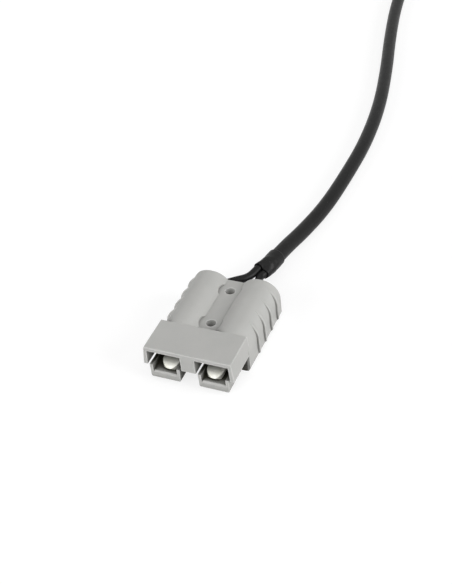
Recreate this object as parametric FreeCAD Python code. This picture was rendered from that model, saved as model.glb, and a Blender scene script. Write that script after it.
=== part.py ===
import FreeCAD, Part
import math
import os

# Adapter cable: a flat two-pole genderless power connector on a two-core cable, with a round plug
# at its far end.
# Millimetres. X runs across the connector, its mating face looks towards -Y, and Z is up.
# The origin is under the middle of the connector, on the surface that the cable lies on.

# Connector housing, outside
housing_length = 47.8
housing_height = 15.9
hood_length = 15.9
hood_width_at_top = 34.2
hood_width_at_middle = 35.7
mating_depth = 14.4
plate_thickness = 1.6
leg_thickness_at_middle = 1.55
leg_thickness_at_plate = 1.15
centre_leg_width = 5.65
edge_round = 0.4
rear_edge_chamfer = 0.4

# The two lower boxes that shield the contacts
box_inner_x = 3.56
box_outer_x = 15.6
box_clearance = 0.55
box_taper = 0.18
box_wall = 1.25
box_floor_clearance = 0.1
box_lead_in = 0.55
box_corner_round = 0.6

# The two barrels behind the hood, with the web between them
barrel_pitch = 19.5
flank_reach = 8.15
flank_upper_corner = 7.3
flank_lower_corner = 2.2
flank_flat = 0.3
web_thickness = 9.7
skirt_length = 23.0
screw_hole_diameter = 3.8
screw_hole_pitch = 19.05
front_hole_setback = 22.2
spot_face_diameter = 9.2

# Finger grips on the outer flanks
grip_pitch = 6.5
grip_setback = 22.4
grip_reach = 9.2
grip_upper_corner = 6.4
grip_lower_corner = 3.0
grip_front_radius = 19.0
grip_front_drop = 1.2
grip_edge_chamfer = 0.3
grip_crest_drop = 0.2
grip_middle_share = 0.3
shortest_grip_share = 0.25

# Contacts, springs and the cavities that hold them
contact_pitch = 17.5
contact_setback = 1.7
tongue_width = 6.8
tongue_thickness = 1.4
nose_bend_radius = 4.2
nose_bend_angle = 60
tongue_length = 19.1
neck_length = 7.0
crimp_length = 12.5
crimp_outer_diameter = 6.8
crimp_bore_depth = 9.5
crimp_dent_radius = 1.6
crimp_dent_depth = 0.7
inspection_hole_diameter = 1.4
contact_clearance = 0.3
cavity_neck_setback = 20.6
rear_bore_diameter = 11.4
rear_bore_depth = 9.0
rear_bore_chamfer = 0.6
spring_width = 4.6
spring_thickness = 0.45
spring_setback = 4.6
spring_length = 14.0
spring_heel_length = 4.5
spring_gap = 0.1

# Cable
cable_diameter = 6.2
core_diameter = 3.0
conductor_diameter = 2.0
conductor_clearance = 0.05
core_gap = 0.1
stripped_length = 0.5
left_core_bend_setback = 47.1
right_core_bend_setback = 48.4
core_lead_into_sleeve = 3.6
sleeve_wall = 0.35
sleeve_clearance = 0.05
sleeve_length = 11.2
sleeve_length_on_cores = 4.2
sleeve_thickness_on_cores = 3.9

# Far-end plug
grip_diameter = 10.6
plug_grip_length = 24.0
relief_length = 16.0
relief_tip_diameter = 8.6
relief_groove_count = 4
relief_groove_width = 1.6
relief_wall = 0.4
relief_bore_depth = 5.0
relief_shoulder = 0.6
plug_grip_chamfer = 0.8
plug_barrel_diameter = 7.9
plug_shank_diameter = 7.0
plug_bore_diameter = 5.5
plug_barrel_length = 11.0
plug_pin_diameter = 0.9
plug_pin_setback = 0.8
plug_insulator_length = 3.0
plug_seat_depth = 4.0
plug_clearance = 0.05

# The cable's route, from inside the sleeve to inside the plug's strain relief, chosen by hand
cable_route = [
    (5.8, 42.1, 7.1),
    (7.3, 55.4, 5.7),
    (9.2, 71.0, 3.8),
    (11.6, 91.0, 3.1),
    (14.0, 116.0, 3.1),
    (14.4, 142.0, 3.1),
    (11.7, 173.0, 3.1),
    (5.6, 206.0, 3.1),
    (-2.4, 240.0, 3.1),
    (-9.4, 276.0, 3.1),
    (-13.2, 314.0, 3.1),
    (-14.0, 340.0, 3.4),
    (-13.6, 357.0, 5.3),
    (-12.8, 371.0, 5.3),
]
front_y = -housing_length / 2
rear_y = housing_length / 2
middle_z = housing_height / 2
barrel_x = barrel_pitch / 2
contact_x = contact_pitch / 2
box_bottom_z = plate_thickness + box_clearance


def vec(x, y, z):
    return FreeCAD.Vector(x, y, z)


def from_front(setback):
    return front_y + setback


def box(x0, x1, y0, y1, z0, z1):
    return Part.makeBox(x1 - x0, y1 - y0, z1 - z0, vec(x0, y0, z0))


def prism_along_y(points, y0, y1):
    corners = [vec(x, y0, z) for x, z in points]
    face = Part.Face(Part.makePolygon(corners + corners[:1]))
    return face.extrude(vec(0, y1 - y0, 0))


def prism_along_x(points, x0, x1):
    corners = [vec(x0, y, z) for y, z in points]
    face = Part.Face(Part.makePolygon(corners + corners[:1]))
    return face.extrude(vec(x1 - x0, 0, 0))


def cylinder_along_y(x, z, diameter, y0, y1):
    return Part.makeCylinder(diameter / 2, y1 - y0, vec(x, y0, z), vec(0, 1, 0))


def cylinder_along_z(x, y, diameter, z0, z1):
    return Part.makeCylinder(diameter / 2, z1 - z0, vec(x, y, z0))


def line(a, b):
    return Part.LineSegment(a, b).toShape()


def arc(a, through, b):
    return Part.Arc(a, through, b).toShape()


def mirrored(shape):
    return shape.mirror(vec(0, 0, 0), vec(1, 0, 0))


def both_sides(shape):
    return [shape, mirrored(shape)]


def joined(shapes):
    return shapes[0].multiFuse(shapes[1:]).removeSplitter()


def rounded(shape, radius, wanted):
    return shape.makeFillet(radius, [edge for edge in shape.Edges if wanted(edge)])


def chamfered(shape, width, wanted):
    return shape.makeChamfer(width, [edge for edge in shape.Edges if wanted(edge)])


def on_rear_face(edge):
    return edge.CenterOfMass.y > rear_y - 0.01


def runs_along(edge, axis):
    first, last = edge.Vertexes[0].Point, edge.Vertexes[-1].Point
    return abs(abs((last - first).normalize() * axis) - 1) < 1e-6


# Hood: the upper half in front of the barrels, and the lower body block from the mating depth to the grips
def hood_upper_half():
    at_top = hood_width_at_top / 2
    at_middle = hood_width_at_middle / 2
    left_side = [(-at_middle, middle_z), (-at_top, housing_height)]
    outline = left_side + [(at_top, housing_height), (at_middle, middle_z)]
    shell = prism_along_y(outline, front_y, from_front(hood_length))
    return rounded(shell, edge_round, lambda edge: edge.CenterOfMass.z > housing_height - 0.01)


def hood_cavity(side):
    leg_at_middle = hood_width_at_middle / 2 - leg_thickness_at_middle
    leg_at_plate = hood_width_at_top / 2 - leg_thickness_at_plate
    ceiling = housing_height - plate_thickness
    outline = [
        (side * centre_leg_width / 2, middle_z),
        (side * centre_leg_width / 2, ceiling),
        (side * leg_at_plate, ceiling),
        (side * leg_at_middle, middle_z),
    ]
    return prism_along_y(outline, front_y - 1, from_front(mating_depth))


def body_lower_half():
    at_bottom = hood_width_at_top / 2
    at_middle = hood_width_at_middle / 2
    outline = [(-at_middle, middle_z), (-at_bottom, 0), (at_bottom, 0), (at_middle, middle_z)]
    block = prism_along_y(outline, from_front(mating_depth), from_front(skirt_length))
    return rounded(block, edge_round, lambda edge: edge.CenterOfMass.z < 0.01)


# Barrels: a round inner side, a flatter outer flank, and the web between them
def flank_half(reach, half_height, upper_corner, lower_corner, y):
    inner = barrel_x
    outer = barrel_x + reach
    top = middle_z + half_height
    bottom = middle_z - half_height
    largest = half_height - flank_flat
    upper = min(upper_corner, largest)
    lower = min(lower_corner, largest)
    to_bend = 1 - math.sqrt(0.5)
    upper_bend = vec(outer - to_bend * upper, y, top - to_bend * upper)
    lower_bend = vec(outer - to_bend * lower, y, bottom + to_bend * lower)
    return [
        line(vec(inner, y, top), vec(outer - upper, y, top)),
        arc(vec(outer - upper, y, top), upper_bend, vec(outer, y, top - upper)),
        line(vec(outer, y, top - upper), vec(outer, y, bottom + lower)),
        arc(vec(outer, y, bottom + lower), lower_bend, vec(outer - lower, y, bottom)),
        line(vec(outer - lower, y, bottom), vec(inner, y, bottom)),
    ]


def barrel():
    y = from_front(mating_depth)
    inner_side = arc(
        vec(barrel_x, y, 0), vec(barrel_x - middle_z, y, middle_z), vec(barrel_x, y, housing_height)
    )
    flank = flank_half(flank_reach, middle_z, flank_upper_corner, flank_lower_corner, y)
    outline = Part.Wire(flank + [inner_side])
    solid = Part.Face(outline).extrude(vec(0, rear_y - y, 0))
    return chamfered(solid, rear_edge_chamfer, on_rear_face)


def web():
    low = middle_z - web_thickness / 2
    high = middle_z + web_thickness / 2
    plate = box(-barrel_x, barrel_x, from_front(mating_depth), rear_y, low, high)
    return chamfered(
        plate, rear_edge_chamfer, lambda edge: on_rear_face(edge) and runs_along(edge, vec(1, 0, 0))
    )


# Grips follow one another to the rear end, where the last one is cut off flush
def grip_count():
    room = (housing_length - grip_setback) / grip_pitch
    return math.ceil(room - shortest_grip_share)


# A finger grip: its front is swept back over the top and bottom, and it tapers into the flank behind it
def grip(index):
    start = from_front(grip_setback + index * grip_pitch)
    buried = flank_reach - grip_crest_drop
    middle_reach = buried + grip_middle_share * (grip_reach - buried)
    middle_upper_corner = flank_upper_corner - grip_middle_share * (flank_upper_corner - grip_upper_corner)
    middle_lower_corner = flank_lower_corner - grip_middle_share * (flank_lower_corner - grip_lower_corner)
    half = middle_z - grip_crest_drop
    middle_y = start + grip_pitch / 2
    end_y = start + grip_pitch
    stations = [
        (grip_reach, half, grip_upper_corner, grip_lower_corner, start),
        (middle_reach, half - grip_crest_drop, middle_upper_corner, middle_lower_corner, middle_y),
        (buried, half - 2 * grip_crest_drop, flank_upper_corner, flank_lower_corner, end_y),
    ]
    wires = []
    for reach, half_height, upper_corner, lower_corner, y in stations:
        closing = line(vec(barrel_x, y, middle_z - half_height), vec(barrel_x, y, middle_z + half_height))
        wires.append(Part.Wire(flank_half(reach, half_height, upper_corner, lower_corner, y) + [closing]))
    wedge = Part.makeLoft(wires, True, False)
    roller_centre = vec(barrel_x, start + grip_front_radius, middle_z - grip_front_drop)
    roller_end = roller_centre - vec(grip_reach, 0, 0)
    roller = Part.makeCylinder(grip_front_radius, 3 * grip_reach, roller_end, vec(1, 0, 0))
    roller.rotate(roller_centre, vec(1, 0, 0), 180)
    blunt = wedge.common(roller)
    front = [face for face in blunt.Faces if face.Surface.TypeId == "Part::GeomCylinder"][0]
    outline = [edge for edge in front.Edges if edge.CenterOfMass.x > barrel_x + 0.01]
    last_y = rear_y - rear_edge_chamfer
    behind = box(0, 2 * grip_reach + barrel_x, last_y, last_y + grip_pitch, -1, housing_height + 1)
    return blunt.makeChamfer(grip_edge_chamfer, outline).cut(behind)


# Contact boxes, open upwards to the middle plane. The floor lies close under the tip of the contact's nose.
def box_floor_z():
    nose_tip = (nose_bend_radius - tongue_thickness) * math.cos(math.radians(nose_bend_angle))
    return middle_z - nose_bend_radius + nose_tip - box_floor_clearance


def contact_box():
    outline = [
        (box_inner_x, middle_z),
        (box_outer_x, middle_z),
        (box_outer_x - box_taper, box_bottom_z),
        (box_inner_x + box_taper, box_bottom_z),
    ]
    outside = prism_along_y(outline, front_y, from_front(mating_depth) + box_wall)
    outside = rounded(
        outside,
        box_corner_round,
        lambda edge: runs_along(edge, vec(0, 1, 0)) and edge.CenterOfMass.z < box_bottom_z + 0.01,
    )
    floor_z = box_floor_z()
    inside = box(
        box_inner_x + box_wall,
        box_outer_x - box_wall,
        front_y - 1,
        from_front(mating_depth),
        floor_z,
        housing_height,
    )
    lead_in = prism_along_x(
        [
            (front_y - 1, floor_z - box_lead_in - 1),
            (front_y - 1, floor_z + 1),
            (front_y + box_lead_in + 1, floor_z + 1),
        ],
        box_inner_x + box_wall,
        box_outer_x - box_wall,
    )
    return outside.cut(inside).cut(lead_in)


# Cavity for one contact, from the rear bore to the window above the box floor
def contact_cavity():
    bore = crimp_outer_diameter + 2 * contact_clearance
    step = from_front(housing_length - rear_bore_depth)
    window = box(
        contact_x - tongue_width / 2 - contact_clearance,
        contact_x + tongue_width / 2 + contact_clearance,
        from_front(mating_depth) - 1,
        from_front(cavity_neck_setback) + contact_clearance,
        box_floor_z(),
        middle_z + contact_clearance,
    )
    narrow = cylinder_along_y(contact_x, middle_z, bore, from_front(cavity_neck_setback), step + 1)
    wide = cylinder_along_y(contact_x, middle_z, rear_bore_diameter, step, rear_y + 1)
    mouth = Part.makeCone(
        rear_bore_diameter / 2,
        rear_bore_diameter / 2 + 2 * rear_bore_chamfer,
        2 * rear_bore_chamfer,
        vec(contact_x, rear_y - rear_bore_chamfer, middle_z),
        vec(0, 1, 0),
    )
    return [window, narrow, wide, mouth]


def screw_holes():
    cutters = []
    for place in range(2):
        y = from_front(front_hole_setback + place * screw_hole_pitch)
        high = middle_z + web_thickness / 2
        low = middle_z - web_thickness / 2
        cutters.append(cylinder_along_z(0, y, screw_hole_diameter, -1, housing_height + 1))
        cutters.append(cylinder_along_z(0, y, spot_face_diameter, high, housing_height + 1))
        cutters.append(cylinder_along_z(0, y, spot_face_diameter, -1, low))
    return cutters


def housing():
    one_side = [barrel(), contact_box()] + [grip(index) for index in range(grip_count())]
    solids = [hood_upper_half().cut(hood_cavity(1)).cut(hood_cavity(-1)), body_lower_half(), web()]
    for piece in one_side:
        solids += both_sides(piece)
    cutters = screw_holes()
    for cutter in contact_cavity():
        cutters += both_sides(cutter)
    return joined(solids).cut(cutters).removeSplitter()


# Contact: a crimp barrel, a neck rolled out flat, and a wiping tongue with a rounded nose bent down
def tongue():
    nose = from_front(contact_setback)
    back = nose + tongue_length
    angle = math.radians(nose_bend_angle)
    bend_y = nose + nose_bend_radius * math.sin(angle)
    bend_z = middle_z - nose_bend_radius
    inner_radius = nose_bend_radius - tongue_thickness

    def on_bend(radius, turn):
        return vec(0, bend_y - radius * math.sin(turn), bend_z + radius * math.cos(turn))

    outline = Part.Wire(
        [
            line(vec(0, back, middle_z), on_bend(nose_bend_radius, 0)),
            arc(*[on_bend(nose_bend_radius, turn) for turn in (0, angle / 2, angle)]),
            line(on_bend(nose_bend_radius, angle), on_bend(inner_radius, angle)),
            arc(*[on_bend(inner_radius, turn) for turn in (angle, angle / 2, 0)]),
            line(on_bend(inner_radius, 0), vec(0, back, middle_z - tongue_thickness)),
            line(vec(0, back, middle_z - tongue_thickness), vec(0, back, middle_z)),
        ]
    )
    strip = Part.Face(outline).extrude(vec(tongue_width, 0, 0))
    strip.translate(vec(contact_x - tongue_width / 2, 0, 0))
    half = tongue_width / 2
    plan = cylinder_along_z(contact_x, nose + half, tongue_width, 0, housing_height).fuse(
        box(contact_x - half, contact_x + half, nose + half, back, 0, housing_height)
    )
    return strip.common(plan)


def contact():
    neck_y = from_front(contact_setback + tongue_length)
    barrel_y = neck_y + neck_length
    end_y = barrel_y + crimp_length
    radius = crimp_outer_diameter / 2
    rolled = prism_along_x(
        [
            (neck_y, middle_z),
            (barrel_y, middle_z + radius),
            (barrel_y, middle_z - radius),
            (neck_y, middle_z - tongue_thickness),
        ],
        contact_x - radius,
        contact_x + radius,
    )
    neck = cylinder_along_y(contact_x, middle_z, crimp_outer_diameter, neck_y, barrel_y).common(rolled)
    crimp = cylinder_along_y(contact_x, middle_z, crimp_outer_diameter, barrel_y, end_y)
    bore_diameter = conductor_diameter + 2 * conductor_clearance
    bore = cylinder_along_y(contact_x, middle_z, bore_diameter, end_y - crimp_bore_depth, end_y + 1)
    dent_y = end_y - crimp_bore_depth / 2
    dent = Part.makeCylinder(
        crimp_dent_radius,
        crimp_outer_diameter,
        vec(contact_x - radius, dent_y, middle_z + radius + crimp_dent_radius - crimp_dent_depth),
        vec(1, 0, 0),
    )
    hole_y = end_y - crimp_bore_depth + inspection_hole_diameter
    inspection = cylinder_along_z(contact_x, hole_y, inspection_hole_diameter, middle_z, housing_height)
    return joined([tongue(), neck, crimp]).cut([bore, dent, inspection])


def crimp_end_y():
    return from_front(contact_setback + tongue_length + neck_length + crimp_length)


# Leaf spring: a bow that lies on the box floor and lifts the tongue, with a flat heel behind it
def contact_spring():
    toe = from_front(spring_setback)
    heel = toe + spring_length
    heel_start = heel - spring_heel_length
    low = box_floor_z() + spring_gap
    top_of_bow = middle_z - tongue_thickness - spring_gap
    bow = (toe + heel_start) / 2
    under = [vec(0, toe, low), vec(0, bow, top_of_bow - spring_thickness), vec(0, heel_start, low)]
    over = [point + vec(0, 0, spring_thickness) for point in under]
    heel_low = vec(0, heel, low)
    heel_high = heel_low + vec(0, 0, spring_thickness)
    outline = Part.Wire(
        [
            arc(*under),
            line(under[2], heel_low),
            line(heel_low, heel_high),
            line(heel_high, over[2]),
            arc(over[2], over[1], over[0]),
            line(over[0], under[0]),
        ]
    )
    leaf = Part.Face(outline).extrude(vec(spring_width, 0, 0))
    leaf.translate(vec(contact_x - spring_width / 2, 0, 0))
    return leaf


# A round tube along a route: straight runs joined by tangent arcs, each as large as its two runs allow
def bend_radii(points):
    radii = []
    for before, corner, after in zip(points, points[1:], points[2:]):
        into = corner - before
        out = after - corner
        shorter = min(into.Length, out.Length)
        radii.append(0.45 * shorter / math.tan(into.getAngle(out) / 2))
    return radii


def path_along(points):
    edges = []
    start = points[0]
    for before, corner, after in zip(points, points[1:], points[2:]):
        into = (corner - before).normalize()
        out = (after - corner).normalize()
        reach = 0.45 * min((corner - before).Length, (after - corner).Length)
        radius = reach / math.tan(into.getAngle(out) / 2)
        first = corner - into * reach
        last = corner + out * reach
        towards_centre = (out - into).normalize()
        centre = corner + towards_centre * math.hypot(radius, reach)
        edges.append(line(start, first))
        edges.append(arc(first, centre - towards_centre * radius, last))
        start = last
    edges.append(line(start, points[-1]))
    return Part.Wire(edges)


def tube(points, diameter):
    heading = (points[1] - points[0]).normalize()
    section = Part.Wire(Part.makeCircle(diameter / 2, points[0], heading))
    return path_along(points).makePipeShell([section], True, False)


def cable_points():
    return [vec(*point) for point in cable_route]


def cable():
    return tube(cable_points(), cable_diameter)


def jacket_heading():
    points = cable_points()
    return (points[1] - points[0]).normalize()


# Each core leaves its barrel, bends towards the sleeve and enters it beside the other core
def core_points(side, bend_setback):
    heading = jacket_heading()
    sideways = heading.cross(vec(0, 0, 1)).normalize()
    end = cable_points()[0] + sideways * side * (core_diameter + core_gap) / 2
    return [
        vec(side * contact_x, crimp_end_y() + stripped_length, middle_z),
        vec(side * contact_x, from_front(bend_setback), middle_z),
        end - heading * (sleeve_length_on_cores + core_lead_into_sleeve),
        end,
    ]


def core(side, bend_setback):
    return tube(core_points(side, bend_setback), core_diameter)


# The stripped end of a core's conductor, from the core's front face into the crimp barrel
def conductor(side):
    front = crimp_end_y() - crimp_bore_depth + conductor_clearance
    return cylinder_along_y(
        side * contact_x, middle_z, conductor_diameter, front, crimp_end_y() + stripped_length
    )


# Shrink sleeve: round on the jacket, and flattened towards its front end, where it grips the two cores
def sleeve():
    heading = jacket_heading()
    start = cable_points()[0]
    sideways = heading.cross(vec(0, 0, 1)).normalize()
    upright = sideways.cross(heading)
    bore_radius = cable_diameter / 2 + sleeve_clearance

    def skin(wall, overrun):
        radius = bore_radius + wall
        front = -sleeve_length_on_cores - overrun
        back = sleeve_length - sleeve_length_on_cores + overrun
        corners = [
            (back, radius),
            (0, radius),
            (-sleeve_length_on_cores, sleeve_thickness_on_cores / 2 + wall),
            (front, sleeve_thickness_on_cores / 2 + wall),
        ]
        corners += [(along, -up) for along, up in reversed(corners)]
        points = [start + heading * along + upright * up - sideways * radius for along, up in corners]
        flats = Part.Face(Part.makePolygon(points + points[:1])).extrude(sideways * 2 * radius)
        return Part.makeCylinder(radius, back - front, start + heading * front, heading).common(flats)

    return skin(sleeve_wall, 0).cut(skin(0, sleeve_wall))


# A solid of revolution about the plug's axis, from corners given as (distance along the axis, radius)
def turned(corners, start, heading):
    points = [vec(radius, 0, along) for along, radius in corners]
    profile = Part.Face(Part.makePolygon(points + points[:1]))
    solid = profile.revolve(vec(0, 0, 0), vec(0, 0, 1), 360)
    solid.Placement = FreeCAD.Placement(start, FreeCAD.Rotation(vec(0, 0, 1), heading))
    return solid


# The strain relief's cone with its ring grooves, as corners from its tip to its root
def relief_corners(root_radius):
    tip_radius = relief_tip_diameter / 2
    floor = cable_diameter / 2 + plug_clearance + relief_wall
    pitch = relief_length / (relief_groove_count + 1)
    corners = [(0, tip_radius)]
    for groove in range(relief_groove_count):
        start = (groove + 1) * pitch - relief_groove_width / 2
        end = start + relief_groove_width
        slope = (root_radius - tip_radius) / relief_length
        corners += [
            (start, tip_radius + slope * start),
            (start, floor),
            (end, floor),
            (end, tip_radius + slope * end),
        ]
    return corners + [(relief_length, root_radius)]


# Far-end plug: a grip moulded in one with its strain relief, a hollow metal barrel whose thinner shank
# sits in the grip, and a centre pin in its bush
def plug_parts():
    points = cable_points()
    heading = (points[-1] - points[-2]).normalize()
    relief_start = points[-1] - heading * relief_bore_depth
    grip_end = relief_length + plug_grip_length
    seat = grip_end - plug_seat_depth
    tip = grip_end + plug_barrel_length

    grip_radius = grip_diameter / 2
    cable_bore_radius = cable_diameter / 2 + plug_clearance
    seat_radius = plug_shank_diameter / 2 + plug_clearance
    grip_outline = relief_corners(grip_radius - relief_shoulder) + [
        (relief_length + relief_shoulder, grip_radius),
        (grip_end - plug_grip_chamfer, grip_radius),
        (grip_end, grip_radius - plug_grip_chamfer),
        (grip_end, seat_radius),
        (seat, seat_radius),
        (seat, 0),
        (relief_bore_depth, 0),
        (relief_bore_depth, cable_bore_radius),
        (0, cable_bore_radius),
    ]
    bore_radius = plug_bore_diameter / 2
    barrel_outline = [
        (seat, bore_radius),
        (seat, plug_shank_diameter / 2),
        (grip_end, plug_shank_diameter / 2),
        (grip_end, plug_barrel_diameter / 2),
        (tip, plug_barrel_diameter / 2),
        (tip, bore_radius),
    ]
    bush_end = grip_end + plug_insulator_length
    bush_outline = [
        (seat, plug_pin_diameter / 2 + plug_clearance),
        (seat, bore_radius - plug_clearance),
        (bush_end, bore_radius - plug_clearance),
        (bush_end, plug_pin_diameter / 2 + plug_clearance),
    ]
    pin_length = tip - plug_pin_setback - seat
    pin = Part.makeCylinder(plug_pin_diameter / 2, pin_length, relief_start + heading * seat, heading)
    return {
        "plug_grip": turned(grip_outline, relief_start, heading),
        "plug_barrel": turned(barrel_outline, relief_start, heading),
        "plug_insulator": turned(bush_outline, relief_start, heading),
        "plug_pin": pin,
    }


def all_parts():
    parts = {
        "housing": housing(),
        "contact_right": contact(),
        "contact_left": mirrored(contact()),
        "contact_spring_right": contact_spring(),
        "contact_spring_left": mirrored(contact_spring()),
        "conductor_right": conductor(1),
        "conductor_left": conductor(-1),
        "core_right": core(1, right_core_bend_setback),
        "core_left": core(-1, left_core_bend_setback),
        "sleeve": sleeve(),
        "cable": cable(),
    }
    parts.update(plug_parts())
    return parts


def main():
    os.makedirs("parts", exist_ok=True)
    for name, shape in all_parts().items():
        shape.exportStep("parts/" + name + ".step")
        print(name, len(shape.Solids), shape.isValid(), round(shape.Volume, 1))
    length = path_along(cable_points()).Length
    share = cable().Volume / (math.pi * cable_diameter**2 / 4 * length)
    print("cable length", round(length, 1), "volume over section times length", round(share, 4))
    print("cable bend radii", [round(radius, 1) for radius in bend_radii(cable_points())])
    for side, setback in ((-1, left_core_bend_setback), (1, right_core_bend_setback)):
        print("core bend radii", [round(radius, 1) for radius in bend_radii(core_points(side, setback))])


main()
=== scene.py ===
import math

import bmesh
import bpy
from mathutils import Matrix, Vector


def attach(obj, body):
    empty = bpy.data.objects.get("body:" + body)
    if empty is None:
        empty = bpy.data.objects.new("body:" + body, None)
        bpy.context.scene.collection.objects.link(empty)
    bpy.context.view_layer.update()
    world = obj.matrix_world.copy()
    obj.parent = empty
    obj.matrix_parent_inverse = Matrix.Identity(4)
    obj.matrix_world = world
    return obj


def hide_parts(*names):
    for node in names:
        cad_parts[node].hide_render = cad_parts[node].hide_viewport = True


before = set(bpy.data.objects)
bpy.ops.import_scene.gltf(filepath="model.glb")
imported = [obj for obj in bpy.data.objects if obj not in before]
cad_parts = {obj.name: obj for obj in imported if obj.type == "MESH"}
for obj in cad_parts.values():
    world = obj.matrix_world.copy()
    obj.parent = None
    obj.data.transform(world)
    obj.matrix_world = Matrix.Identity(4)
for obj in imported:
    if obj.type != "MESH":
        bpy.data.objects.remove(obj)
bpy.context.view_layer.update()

# Everything is in metres, in the connector's frame: X across it, its mating face towards -Y, Z up.
MM = 0.001

# Camera, fitted to the photograph
IMAGE_WIDTH = 452
FOCAL_LENGTH_IN_PIXELS = 1200
SENSOR_WIDTH = 36
CAMERA_AZIMUTH = math.radians(26.699)
CAMERA_ELEVATION = math.radians(39.725)
CAMERA_ROLL = math.radians(-6.865)
CAMERA_DISTANCE = 464.61 * MM
CAMERA_TARGET = Vector((-4.005, 21.598, 8.0)) * MM

# Cable route from inside the sleeve to inside the plug: the points of the part's source, of which the
# second to the seventh are moved by up to 1.5 mm across to follow the photograph
CABLE_DIAMETER = 6.2 * MM
CABLE_ROUTE = [
    (5.8, 42.1, 7.1),
    (7.1, 55.4, 5.7),
    (9.85, 71.0, 3.8),
    (13.05, 91.0, 3.1),
    (14.35, 116.0, 3.1),
    (14.7, 142.0, 3.1),
    (11.95, 173.0, 3.1),
    (5.6, 206.0, 3.1),
    (-2.4, 240.0, 3.1),
    (-9.4, 276.0, 3.1),
    (-13.2, 314.0, 3.1),
    (-14.0, 340.0, 3.4),
    (-13.6, 357.0, 5.3),
    (-12.8, 371.0, 5.3),
]

# Where the mating cavities end, towards the cable and beside the hood's legs; the painted cavity shade
# stops there
MATING_DEPTH_Y = -9.5 * MM
MATING_HALF_WIDTH = 16.6 * MM

# Shrink sleeve: its front is turned about its axis with the left core up, cut back on the left,
# and leans left
SLEEVE_WALL = 0.5 * MM
SLEEVE_CLEARANCE = 0.05 * MM
SLEEVE_LENGTH = 12.1 * MM
SLEEVE_LENGTH_ON_CORES = 5.1 * MM
SLEEVE_WAIST_SHARE = 0.78
SLEEVE_WRINKLE = 0.10 * MM
SLEEVE_RIPPLE = 0.02 * MM
SLEEVE_TURN = math.radians(22)
SLEEVE_CUT = 1.5 * MM
SLEEVE_LEAN = 1.3 * MM
SLEEVE_LEAN_LENGTH = 8.1 * MM

# Cores: side, then the route from the crimp to near the sleeve
CORE_RADIUS = 1.62 * MM
CORE_SPACING = 3.35 * MM
CORE_ROUTES = {
    "core_left": (-1, [(-8.75, 16.9, 7.95), (-8.75, 24.2, 7.95), (-3.2, 28.7, 8.2), (1.2, 32.8, 7.6)]),
    "core_right": (1, [(8.75, 16.9, 7.95), (8.75, 24.8, 7.9), (4.2, 34.4, 6.6)]),
}

# Studio: how light the floor is for the lamps and for the eye, and the light that the world gives
FLOOR_SIZE = 40
FLOOR_SHADE_FOR_LIGHT = 0.35
FLOOR_SHADE_FOR_EYE = 0.82
FLOOR_GLOW_SHARE = 0.66
FLOOR_GLOW = 1.15
WORLD_LIGHT = 0.12


def direction_to(azimuth, elevation):
    """From the object towards a place round it, with azimuth 0 in front of the mating face."""
    return Vector(
        (
            math.sin(azimuth) * math.cos(elevation),
            -math.cos(azimuth) * math.cos(elevation),
            math.sin(elevation),
        )
    )


def add_camera():
    back = direction_to(CAMERA_AZIMUTH, CAMERA_ELEVATION)
    level_right = Vector((math.cos(CAMERA_AZIMUTH), math.sin(CAMERA_AZIMUTH), 0))
    level_up = back.cross(level_right)
    right = math.cos(CAMERA_ROLL) * level_right + math.sin(CAMERA_ROLL) * level_up
    up = math.cos(CAMERA_ROLL) * level_up - math.sin(CAMERA_ROLL) * level_right
    data = bpy.data.cameras.new("camera")
    data.sensor_fit = "HORIZONTAL"
    data.sensor_width = SENSOR_WIDTH
    data.lens = SENSOR_WIDTH * FOCAL_LENGTH_IN_PIXELS / IMAGE_WIDTH
    data.clip_start = 0.01
    camera = bpy.data.objects.new("camera", data)
    axes = Matrix((right, up, back)).transposed()
    camera.matrix_world = Matrix.Translation(CAMERA_TARGET + back * CAMERA_DISTANCE) @ axes.to_4x4()
    bpy.context.scene.collection.objects.link(camera)
    bpy.context.scene.camera = camera


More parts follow.
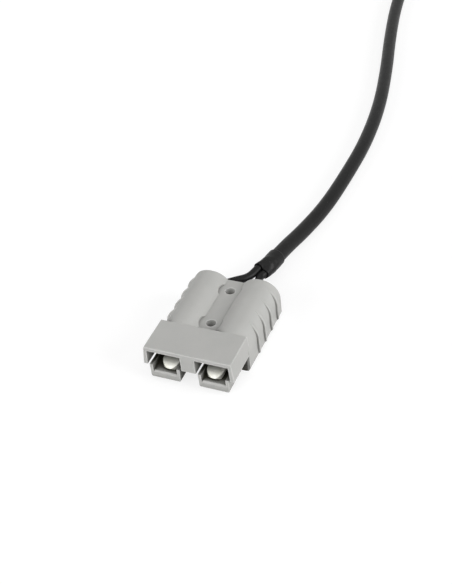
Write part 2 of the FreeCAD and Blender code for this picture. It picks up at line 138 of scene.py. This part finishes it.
class Shader:
    """A material's node tree, with short calls for the nodes that the finishes use."""

    def __init__(self, name):
        self.material = bpy.data.materials.new(name)
        self.material.use_nodes = True
        self.tree = self.material.node_tree
        self.surface = self.tree.nodes["Principled BSDF"]
        coordinates = self.node("ShaderNodeTexCoord")
        self.position = coordinates.outputs["Object"]

    def node(self, kind, **settings):
        node = self.tree.nodes.new(kind)
        for key, value in settings.items():
            setattr(node, key, value)
        return node

    def link(self, output, socket):
        self.tree.links.new(output, socket)

    def scaled_position(self, scale):
        mapping = self.node("ShaderNodeMapping")
        mapping.inputs["Scale"].default_value = scale
        self.link(self.position, mapping.inputs["Vector"])
        return mapping.outputs["Vector"]

    def noise(self, grain, detail=2.0, roughness=0.5, stretch=(1, 1, 1)):
        """Noise whose features are about grain metres across."""
        texture = self.node("ShaderNodeTexNoise")
        texture.inputs["Scale"].default_value = 1
        texture.inputs["Detail"].default_value = detail
        texture.inputs["Roughness"].default_value = roughness
        position = self.scaled_position([share / grain for share in stretch])
        self.link(position, texture.inputs["Vector"])
        return texture.outputs["Fac"]

    def along(self, axis):
        axes = self.node("ShaderNodeSeparateXYZ")
        self.link(self.position, axes.inputs["Vector"])
        return axes.outputs[axis]

    def absolute(self, value):
        node = self.node("ShaderNodeMath", operation="ABSOLUTE")
        self.link(value, node.inputs[0])
        return node.outputs["Value"]

    def product(self, first, second):
        node = self.node("ShaderNodeMath", operation="MULTIPLY")
        self.link(first, node.inputs[0])
        self.link(second, node.inputs[1])
        return node.outputs["Value"]

    def remap(self, value, low, high, to_low, to_high):
        node = self.node("ShaderNodeMapRange")
        limits = {"From Min": low, "From Max": high, "To Min": to_low, "To Max": to_high}
        for socket, number in limits.items():
            node.inputs[socket].default_value = number
        self.link(value, node.inputs["Value"])
        return node.outputs["Result"]

    def blend(self, factor, first, second):
        node = self.node("ShaderNodeMix", data_type="RGBA")
        self.link(factor, node.inputs["Factor"])
        for name, colour in (("A", first), ("B", second)):
            socket = next(one for one in node.inputs if one.name == name and one.type == "RGBA")
            if isinstance(colour, tuple):
                socket.default_value = (*colour, 1)
            else:
                self.link(colour, socket)
        return next(one for one in node.outputs if one.type == "RGBA")

    def openness(self, reach, inside=False):
        """1 on an open face, and less in a recess about reach metres across; the housing's painted
        shade and painted highlight come from it.

        With inside, less close to a sharp outer corner instead.
        """
        occlusion = self.node("ShaderNodeAmbientOcclusion", samples=16, inside=inside)
        occlusion.inputs["Distance"].default_value = reach
        return occlusion.outputs["AO"]

    def bumps(self, *layers):
        """Each layer is a height and its depth in metres; they are stacked in turn."""
        normal = None
        for height, depth in layers:
            node = self.node("ShaderNodeBump")
            node.inputs["Distance"].default_value = depth
            self.link(height, node.inputs["Height"])
            if normal:
                self.link(normal, node.inputs["Normal"])
            normal = node.outputs["Normal"]
        self.link(normal, self.surface.inputs["Normal"])

    def set(self, **values):
        for name, value in values.items():
            socket = self.surface.inputs[name.replace("_", " ")]
            if isinstance(value, (int, float, tuple)):
                socket.default_value = (*value, 1) if isinstance(value, tuple) else value
            else:
                self.link(value, socket)
        return self


def housing_plastic():
    shader = Shader("housing_plastic")
    mottle = shader.remap(shader.noise(9 * MM, 3), 0.35, 0.65, 0, 1)
    speckle = shader.remap(shader.noise(0.35 * MM, 2), 0.3, 0.7, 0, 1)
    colour = shader.blend(mottle, (0.385, 0.385, 0.372), (0.405, 0.403, 0.390))
    colour = shader.blend(shader.remap(speckle, 0, 1, 0, 0.25), colour, (0.44, 0.44, 0.425))
    # Painted shade: the colour darkens in narrow grooves and inner corners, where shade falls.
    painted_crease_shade = shader.remap(shader.openness(1.4 * MM), 0.45, 0.95, 0.62, 0)
    colour = shader.blend(painted_crease_shade, colour, (0.15, 0.15, 0.14))
    # Painted highlight: the colour lightens along sharp outer corners, where light catches them.
    painted_edge_highlight = shader.remap(shader.openness(0.6 * MM, inside=True), 0.55, 0.95, 0.6, 0)
    colour = shader.blend(painted_edge_highlight, colour, (0.62, 0.62, 0.605))
    # Painted shade: the mating cavities are painted near black where shade falls inside them, only in
    # front of the mating depth and between the hood's legs.
    painted_cavity_shade = shader.remap(shader.openness(10 * MM), 0.33, 0.77, 1, 0)
    in_front = shader.remap(shader.along("Y"), MATING_DEPTH_Y, MATING_DEPTH_Y + 1 * MM, 1, 0)
    beside = shader.absolute(shader.along("X"))
    between_legs = shader.remap(beside, MATING_HALF_WIDTH, MATING_HALF_WIDTH + 0.5 * MM, 1, 0)
    painted_cavity_shade = shader.product(shader.product(painted_cavity_shade, in_front), between_legs)
    colour = shader.blend(painted_cavity_shade, colour, (0.026, 0.025, 0.016))
    shader.bumps((shader.noise(0.22 * MM, 2), 0.012 * MM), (shader.noise(6 * MM, 1), 0.05 * MM))
    roughness = shader.remap(shader.noise(2.5 * MM, 2), 0.3, 0.7, 0.54, 0.64)
    return shader.set(Base_Color=colour, Roughness=roughness, Specular_IOR_Level=0.32).material


def contact_metal():
    shader = Shader("contact_metal")
    rubbed = shader.noise(0.12 * MM, 2, stretch=(1, 0.06, 1))
    tarnish = shader.remap(shader.noise(2.2 * MM, 3), 0.45, 0.7, 0, 1)
    colour = shader.blend(tarnish, (0.61, 0.61, 0.565), (0.53, 0.53, 0.475))
    shader.bumps((rubbed, 0.006 * MM), (shader.noise(1.5 * MM, 1), 0.02 * MM))
    roughness = shader.remap(shader.noise(0.8 * MM, 2), 0.3, 0.7, 0.56, 0.66)
    return shader.set(Base_Color=colour, Roughness=roughness, Metallic=0.6).material


def spring_steel():
    shader = Shader("spring_steel")
    rolled = shader.noise(0.1 * MM, 2, stretch=(1, 0.05, 1))
    colour = shader.blend(rolled, (0.42, 0.42, 0.41), (0.56, 0.56, 0.55))
    shader.bumps((rolled, 0.004 * MM))
    return shader.set(Base_Color=colour, Roughness=0.34, Metallic=1.0).material


def conductor_copper():
    shader = Shader("conductor_copper")
    dull = shader.remap(shader.noise(0.8 * MM, 3), 0.35, 0.65, 0, 1)
    colour = shader.blend(dull, (0.83, 0.45, 0.27), (0.62, 0.31, 0.18))
    shader.bumps((shader.noise(0.25 * MM, 1, stretch=(1, 0.2, 1)), 0.05 * MM))
    return shader.set(Base_Color=colour, Roughness=0.32, Metallic=1.0).material


def black_plastic(name, shade, grain, depth, roughness):
    """Black plastic or rubber of a grey level, with grain and depth the size of its texture."""
    shader = Shader(name)
    cloud = shader.remap(shader.noise(7 * MM, 3), 0.35, 0.65, 0, 1)
    colour = shader.blend(cloud, (shade, shade, shade), (shade * 1.3, shade * 1.3, shade * 1.28))
    dust = shader.remap(shader.noise(0.45 * MM, 2, 0.7), 0.70, 0.76, 0, 1)
    colour = shader.blend(shader.remap(dust, 0, 1, 0, 0.55), colour, (0.16, 0.16, 0.155))
    shader.bumps((shader.noise(grain, 2), depth), (shader.noise(3 * MM, 1), 0.04 * MM))
    value = shader.remap(shader.noise(1.8 * MM, 2), 0.3, 0.7, roughness - 0.05, roughness + 0.06)
    return shader.set(Base_Color=colour, Roughness=value, Specular_IOR_Level=0.13).material


def plug_metal():
    shader = Shader("plug_metal")
    turned = shader.noise(0.08 * MM, 1, stretch=(0.1, 1, 0.1))
    cloud = shader.noise(2 * MM, 2)
    colour = shader.blend(cloud, (0.52, 0.515, 0.50), (0.60, 0.595, 0.58))
    shader.bumps((turned, 0.003 * MM))
    roughness = shader.remap(cloud, 0.3, 0.7, 0.28, 0.38)
    return shader.set(Base_Color=colour, Roughness=roughness, Metallic=1.0).material


def nurbs_line(name, points, bevel_radius, resolution=12):
    curve = bpy.data.curves.new(name, "CURVE")
    curve.dimensions = "3D"
    curve.bevel_depth = bevel_radius
    curve.bevel_resolution = 8
    curve.use_fill_caps = True
    spline = curve.splines.new("NURBS")
    spline.points.add(len(points) - 1)
    for point, place in zip(spline.points, points):
        point.co = (*place, 1)
    spline.order_u = 3
    spline.use_endpoint_u = True
    spline.resolution_u = resolution
    piece = bpy.data.objects.new(name, curve)
    bpy.context.scene.collection.objects.link(piece)
    return piece


def mesh_piece(name, mesh_maker):
    mesh = bpy.data.meshes.new(name)
    working = bmesh.new()
    mesh_maker(working)
    working.to_mesh(mesh)
    working.free()
    for polygon in mesh.polygons:
        polygon.use_smooth = True
    piece = bpy.data.objects.new(name, mesh)
    bpy.context.scene.collection.objects.link(piece)
    return piece


def in_metres(points):
    return [Vector(point) * MM for point in points]


def add_cable(material):
    cable = nurbs_line("cable_jacket", in_metres(CABLE_ROUTE), CABLE_DIAMETER / 2)
    cable.data.materials.append(material)
    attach(cable, "root")
    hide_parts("cable")
    return cable


def sleeve_axes():
    """The sleeve's heading, the direction from its left core to its right one, and the third axis."""
    heading = (Vector(CABLE_ROUTE[1]) - Vector(CABLE_ROUTE[0])).normalized()
    level = heading.cross(Vector((0, 0, 1))).normalized()
    upright = level.cross(heading)
    sideways = level * math.cos(SLEEVE_TURN) - upright * math.sin(SLEEVE_TURN)
    return heading, sideways, sideways.cross(heading)


def sleeve_centre(place):
    """The middle of the sleeve at a place along it, measured from its front end."""
    heading = sleeve_axes()[0]
    lean = SLEEVE_LEAN * max(0, 1 - place / SLEEVE_LEAN_LENGTH) ** 2
    straight = Vector(CABLE_ROUTE[0]) * MM + heading * (place - SLEEVE_LENGTH_ON_CORES)
    return straight - heading.cross(Vector((0, 0, 1))).normalized() * lean


def add_core(node, material):
    side, waypoints = CORE_ROUTES[node]
    offset = sleeve_axes()[1] * side * CORE_SPACING / 2
    places = (0.8 * MM, SLEEVE_LENGTH_ON_CORES / 2, SLEEVE_LENGTH_ON_CORES)
    route = in_metres(waypoints) + [sleeve_centre(place) + offset for place in places]
    core = nurbs_line(node + "_insulation", route, CORE_RADIUS)
    core.data.materials.append(material)
    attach(core, "root")
    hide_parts(node)
    return core


# Around the sleeve's axis: two core circles with a waist at its front, one jacket circle behind
def sleeve_radius(angle, along, wall):
    jacket = CABLE_DIAMETER / 2 + SLEEVE_CLEARANCE + wall
    core = CORE_RADIUS + SLEEVE_CLEARANCE + wall
    half = CORE_SPACING / 2
    across = abs(math.cos(angle))
    beside = abs(math.sin(angle))
    reach = half * across + math.sqrt(max(core**2 - (half * beside) ** 2, 0))
    waist = SLEEVE_WAIST_SHARE * core / max(beside, 0.2)
    pinched = max(reach, min(waist, jacket))
    share = min(max(along / SLEEVE_LENGTH_ON_CORES, 0), 1)
    share = share * share * (3 - 2 * share)
    return pinched + (jacket - pinched) * share


# Shallow waves where the sleeve shrank over the jacket's end; the other numbers only place them
def wrinkle(angle, along):
    place = along / SLEEVE_LENGTH_ON_CORES
    depth = SLEEVE_WRINKLE * math.exp(-((place - 0.9) ** 2) / 0.5) + SLEEVE_RIPPLE
    wave = math.sin(2 * angle + 5.1 * place + 0.6) * math.sin(3.4 * place + 0.4)
    ripple = 0.5 * math.sin(5 * angle - 3.3 * place) * math.cos(2.2 * place + angle)
    return depth * (wave + ripple)


def add_sleeve(material):
    _, sideways, upright = sleeve_axes()
    turns = 64
    stations = 40

    def ring(working, along, wall):
        corners = []
        for turn in range(turns):
            angle = 2 * math.pi * turn / turns
            cut = SLEEVE_CUT * (1 - math.cos(angle)) / 2
            place = along + cut * max(0, 1 - along / SLEEVE_LENGTH_ON_CORES)
            radius = sleeve_radius(angle, place, wall) + (wrinkle(angle, place) if wall else 0)
            across = sideways * math.cos(angle) * radius
            up = upright * math.sin(angle) * radius
            corners.append(working.verts.new(sleeve_centre(place) + (across + up)))
        return corners

    def make(working):
        rings = []
        for station in range(stations + 1):
            rings.append(ring(working, SLEEVE_LENGTH * station / stations, SLEEVE_WALL))
        for station in range(stations, -1, -1):
            rings.append(ring(working, SLEEVE_LENGTH * station / stations, 0))
        for first, second in zip(rings, rings[1:] + rings[:1]):
            for turn in range(turns):
                after = (turn + 1) % turns
                working.faces.new((first[turn], second[turn], second[after], first[after]))
        bmesh.ops.recalc_face_normals(working, faces=working.faces)

    sleeve = mesh_piece("shrink_sleeve", make)
    sleeve.data.materials.append(material)
    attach(sleeve, "root")
    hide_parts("sleeve")
    return sleeve


def dress_cad_nodes(finishes):
    for name, material in finishes.items():
        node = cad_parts[name]
        node.data.materials.clear()
        node.data.materials.append(material)


def soft_lamp(name, azimuth, elevation, softness, level):
    """A far lamp, softness degrees across; a white face turned to it gets that brightness."""
    data = bpy.data.lights.new(name, "SUN")
    data.angle = math.radians(softness)
    data.energy = level * math.pi
    away = direction_to(math.radians(azimuth), math.radians(elevation))
    light = bpy.data.objects.new(name, data)
    light.matrix_world = away.to_track_quat("Z", "Y").to_matrix().to_4x4()
    bpy.context.scene.collection.objects.link(light)


def seen_directly(tree):
    """1 for what the camera, a reflection or glass sees, and 0 for light falling on a surface."""
    path = tree.nodes.new("ShaderNodeLightPath")
    total = path.outputs["Is Camera Ray"]
    for name in ("Is Glossy Ray", "Is Transmission Ray"):
        node = tree.nodes.new("ShaderNodeMath")
        node.operation = "MAXIMUM"
        tree.links.new(total, node.inputs[0])
        tree.links.new(path.outputs[name], node.inputs[1])
        total = node.outputs["Value"]
    return total


def add_world(strength):
    world = bpy.data.worlds.new("studio")
    bpy.context.scene.world = world
    world.use_nodes = True
    tree = world.node_tree
    background = tree.nodes["Background"]
    background.inputs["Color"].default_value = (1, 1, 1, 1)
    node = tree.nodes.new("ShaderNodeMapRange")
    node.inputs["To Min"].default_value = strength
    node.inputs["To Max"].default_value = 1
    tree.links.new(seen_directly(tree), node.inputs["Value"])
    tree.links.new(node.outputs["Result"], background.inputs["Strength"])


def add_floor():
    bpy.ops.mesh.primitive_plane_add(size=FLOOR_SIZE, location=(0, 0.2, 0))
    floor = bpy.context.object
    floor.name = "floor"
    material = bpy.data.materials.new("floor")
    material.use_nodes = True
    tree = material.node_tree
    surface = tree.nodes["Principled BSDF"]
    surface.inputs["Roughness"].default_value = 0.9
    surface.inputs["Specular IOR Level"].default_value = 0.1
    glow = tree.nodes.new("ShaderNodeEmission")
    mix = tree.nodes.new("ShaderNodeMixShader")
    direct = seen_directly(tree)
    shade = tree.nodes.new("ShaderNodeMapRange")
    shade.inputs["To Min"].default_value = FLOOR_SHADE_FOR_LIGHT
    shade.inputs["To Max"].default_value = FLOOR_SHADE_FOR_EYE
    tree.links.new(direct, shade.inputs["Value"])
    tree.links.new(shade.outputs["Result"], surface.inputs["Base Color"])
    share = tree.nodes.new("ShaderNodeMath")
    share.operation = "MULTIPLY"
    share.inputs[1].default_value = FLOOR_GLOW_SHARE
    tree.links.new(direct, share.inputs[0])
    tree.links.new(share.outputs["Value"], mix.inputs["Fac"])
    tree.links.new(surface.outputs["BSDF"], mix.inputs[1])
    tree.links.new(glow.outputs["Emission"], mix.inputs[2])
    glow.inputs["Strength"].default_value = FLOOR_GLOW
    tree.links.new(mix.outputs["Shader"], tree.nodes["Material Output"].inputs["Surface"])
    floor.data.materials.append(material)


# Camera and cord first, then the pieces on it, the finishes and the studio
add_camera()
jacket = black_plastic("cable_jacket", 0.0055, 0.12 * MM, 0.015 * MM, 0.38)
cable_piece = add_cable(jacket)
shrink = black_plastic("sleeve_plastic", 0.0055, 0.2 * MM, 0.01 * MM, 0.40)
sleeve_piece = add_sleeve(shrink)
metal = plug_metal()
insulation = black_plastic("core_insulation", 0.004, 0.1 * MM, 0.006 * MM, 0.38)
core_pieces = [add_core(node, insulation) for node in CORE_ROUTES]
copper = conductor_copper()
contact = contact_metal()
spring = spring_steel()
dress_cad_nodes(
    {
        "housing": housing_plastic(),
        "contact_left": contact,
        "contact_right": contact,
        "contact_spring_left": spring,
        "contact_spring_right": spring,
        "conductor_left": copper,
        "conductor_right": copper,
        "plug_grip": black_plastic("plug_rubber", 0.013, 0.16 * MM, 0.02 * MM, 0.5),
        "plug_barrel": metal,
        "plug_insulator": black_plastic("plug_insulator", 0.015, 0.1 * MM, 0.004 * MM, 0.35),
        "plug_pin": metal,
    }
)

add_floor()
add_world(WORLD_LIGHT)
soft_lamp("top", azimuth=150, elevation=74, softness=60, level=0.19)
soft_lamp("key", azimuth=20, elevation=46, softness=40, level=0.26)
soft_lamp("front", azimuth=-36, elevation=17, softness=44, level=0.78)
soft_lamp("right", azimuth=90, elevation=20, softness=44, level=0.88)
bpy.context.scene.view_settings.view_transform = "Standard"
